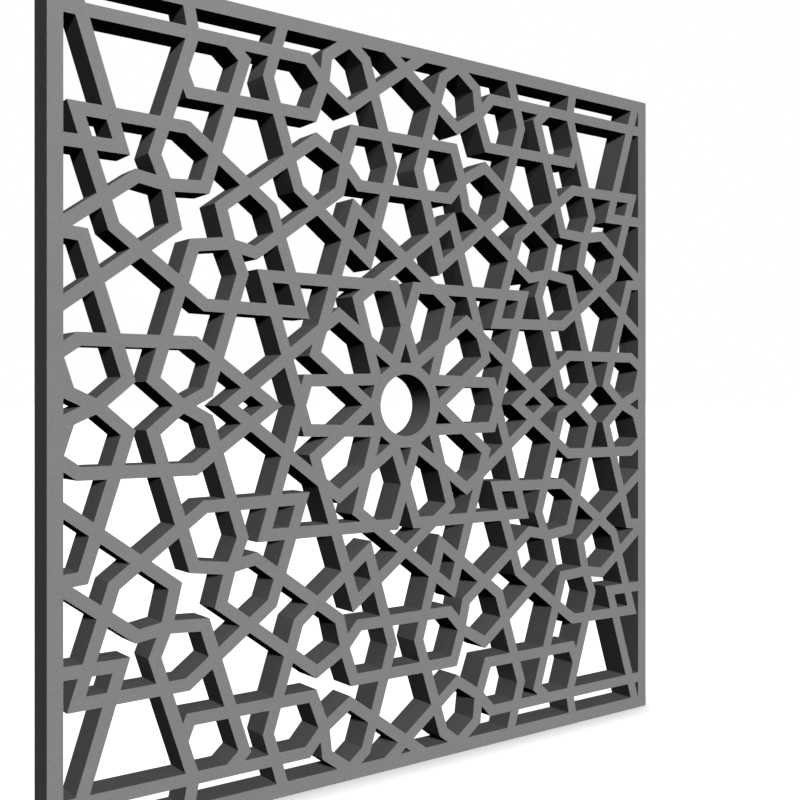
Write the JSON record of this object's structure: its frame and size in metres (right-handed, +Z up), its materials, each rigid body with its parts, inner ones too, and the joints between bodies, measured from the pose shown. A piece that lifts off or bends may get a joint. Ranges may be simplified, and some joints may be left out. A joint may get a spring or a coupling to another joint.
{
  "type": "pierced stone window screen",
  "caption": "Square pierced stone grille: a slab carved right through with interlaced straps in a tenfold star pattern, inside a narrow plain border.",
  "frame": {"origin": "middle of the underside, half-way through the thickness, where the screen stands on its sill", "axes": "+X to the right across the screen, +Z up, -Y out of its face; the slab's thickness runs along Y"},
  "size_m": [1.2, 0.05, 1.2],
  "materials": {
    "stone": "fine-grained grey stone, rubbed matt"
  },
  "bodies": {
    "root": {"grille": "stone"}
  },
  "joints": []
}
